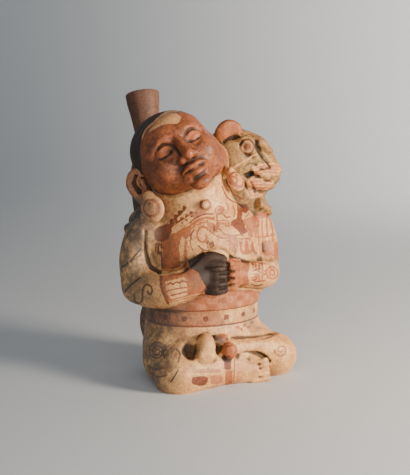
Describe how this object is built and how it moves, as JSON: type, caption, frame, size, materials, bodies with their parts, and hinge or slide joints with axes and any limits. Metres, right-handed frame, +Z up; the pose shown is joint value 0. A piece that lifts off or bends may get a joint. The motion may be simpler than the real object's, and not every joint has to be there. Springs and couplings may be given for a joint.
{
  "type": "stirrup spout vessel",
  "caption": "Hollow fired-clay vessel shaped as a seated man with a feline at his shoulder, poured through a flared spout on a stirrup arch.",
  "frame": {"origin": "on the flat underside, below the middle of the trunk", "axes": "+Z up, -Y the way the man faces, +X towards his left hand"},
  "size_m": [0.1625, 0.1588, 0.251],
  "materials": {
    "clay": "burnished red-brown clay with painted cream and brown slip"
  },
  "bodies": {
    "root": {"vessel": "clay"}
  },
  "joints": []
}
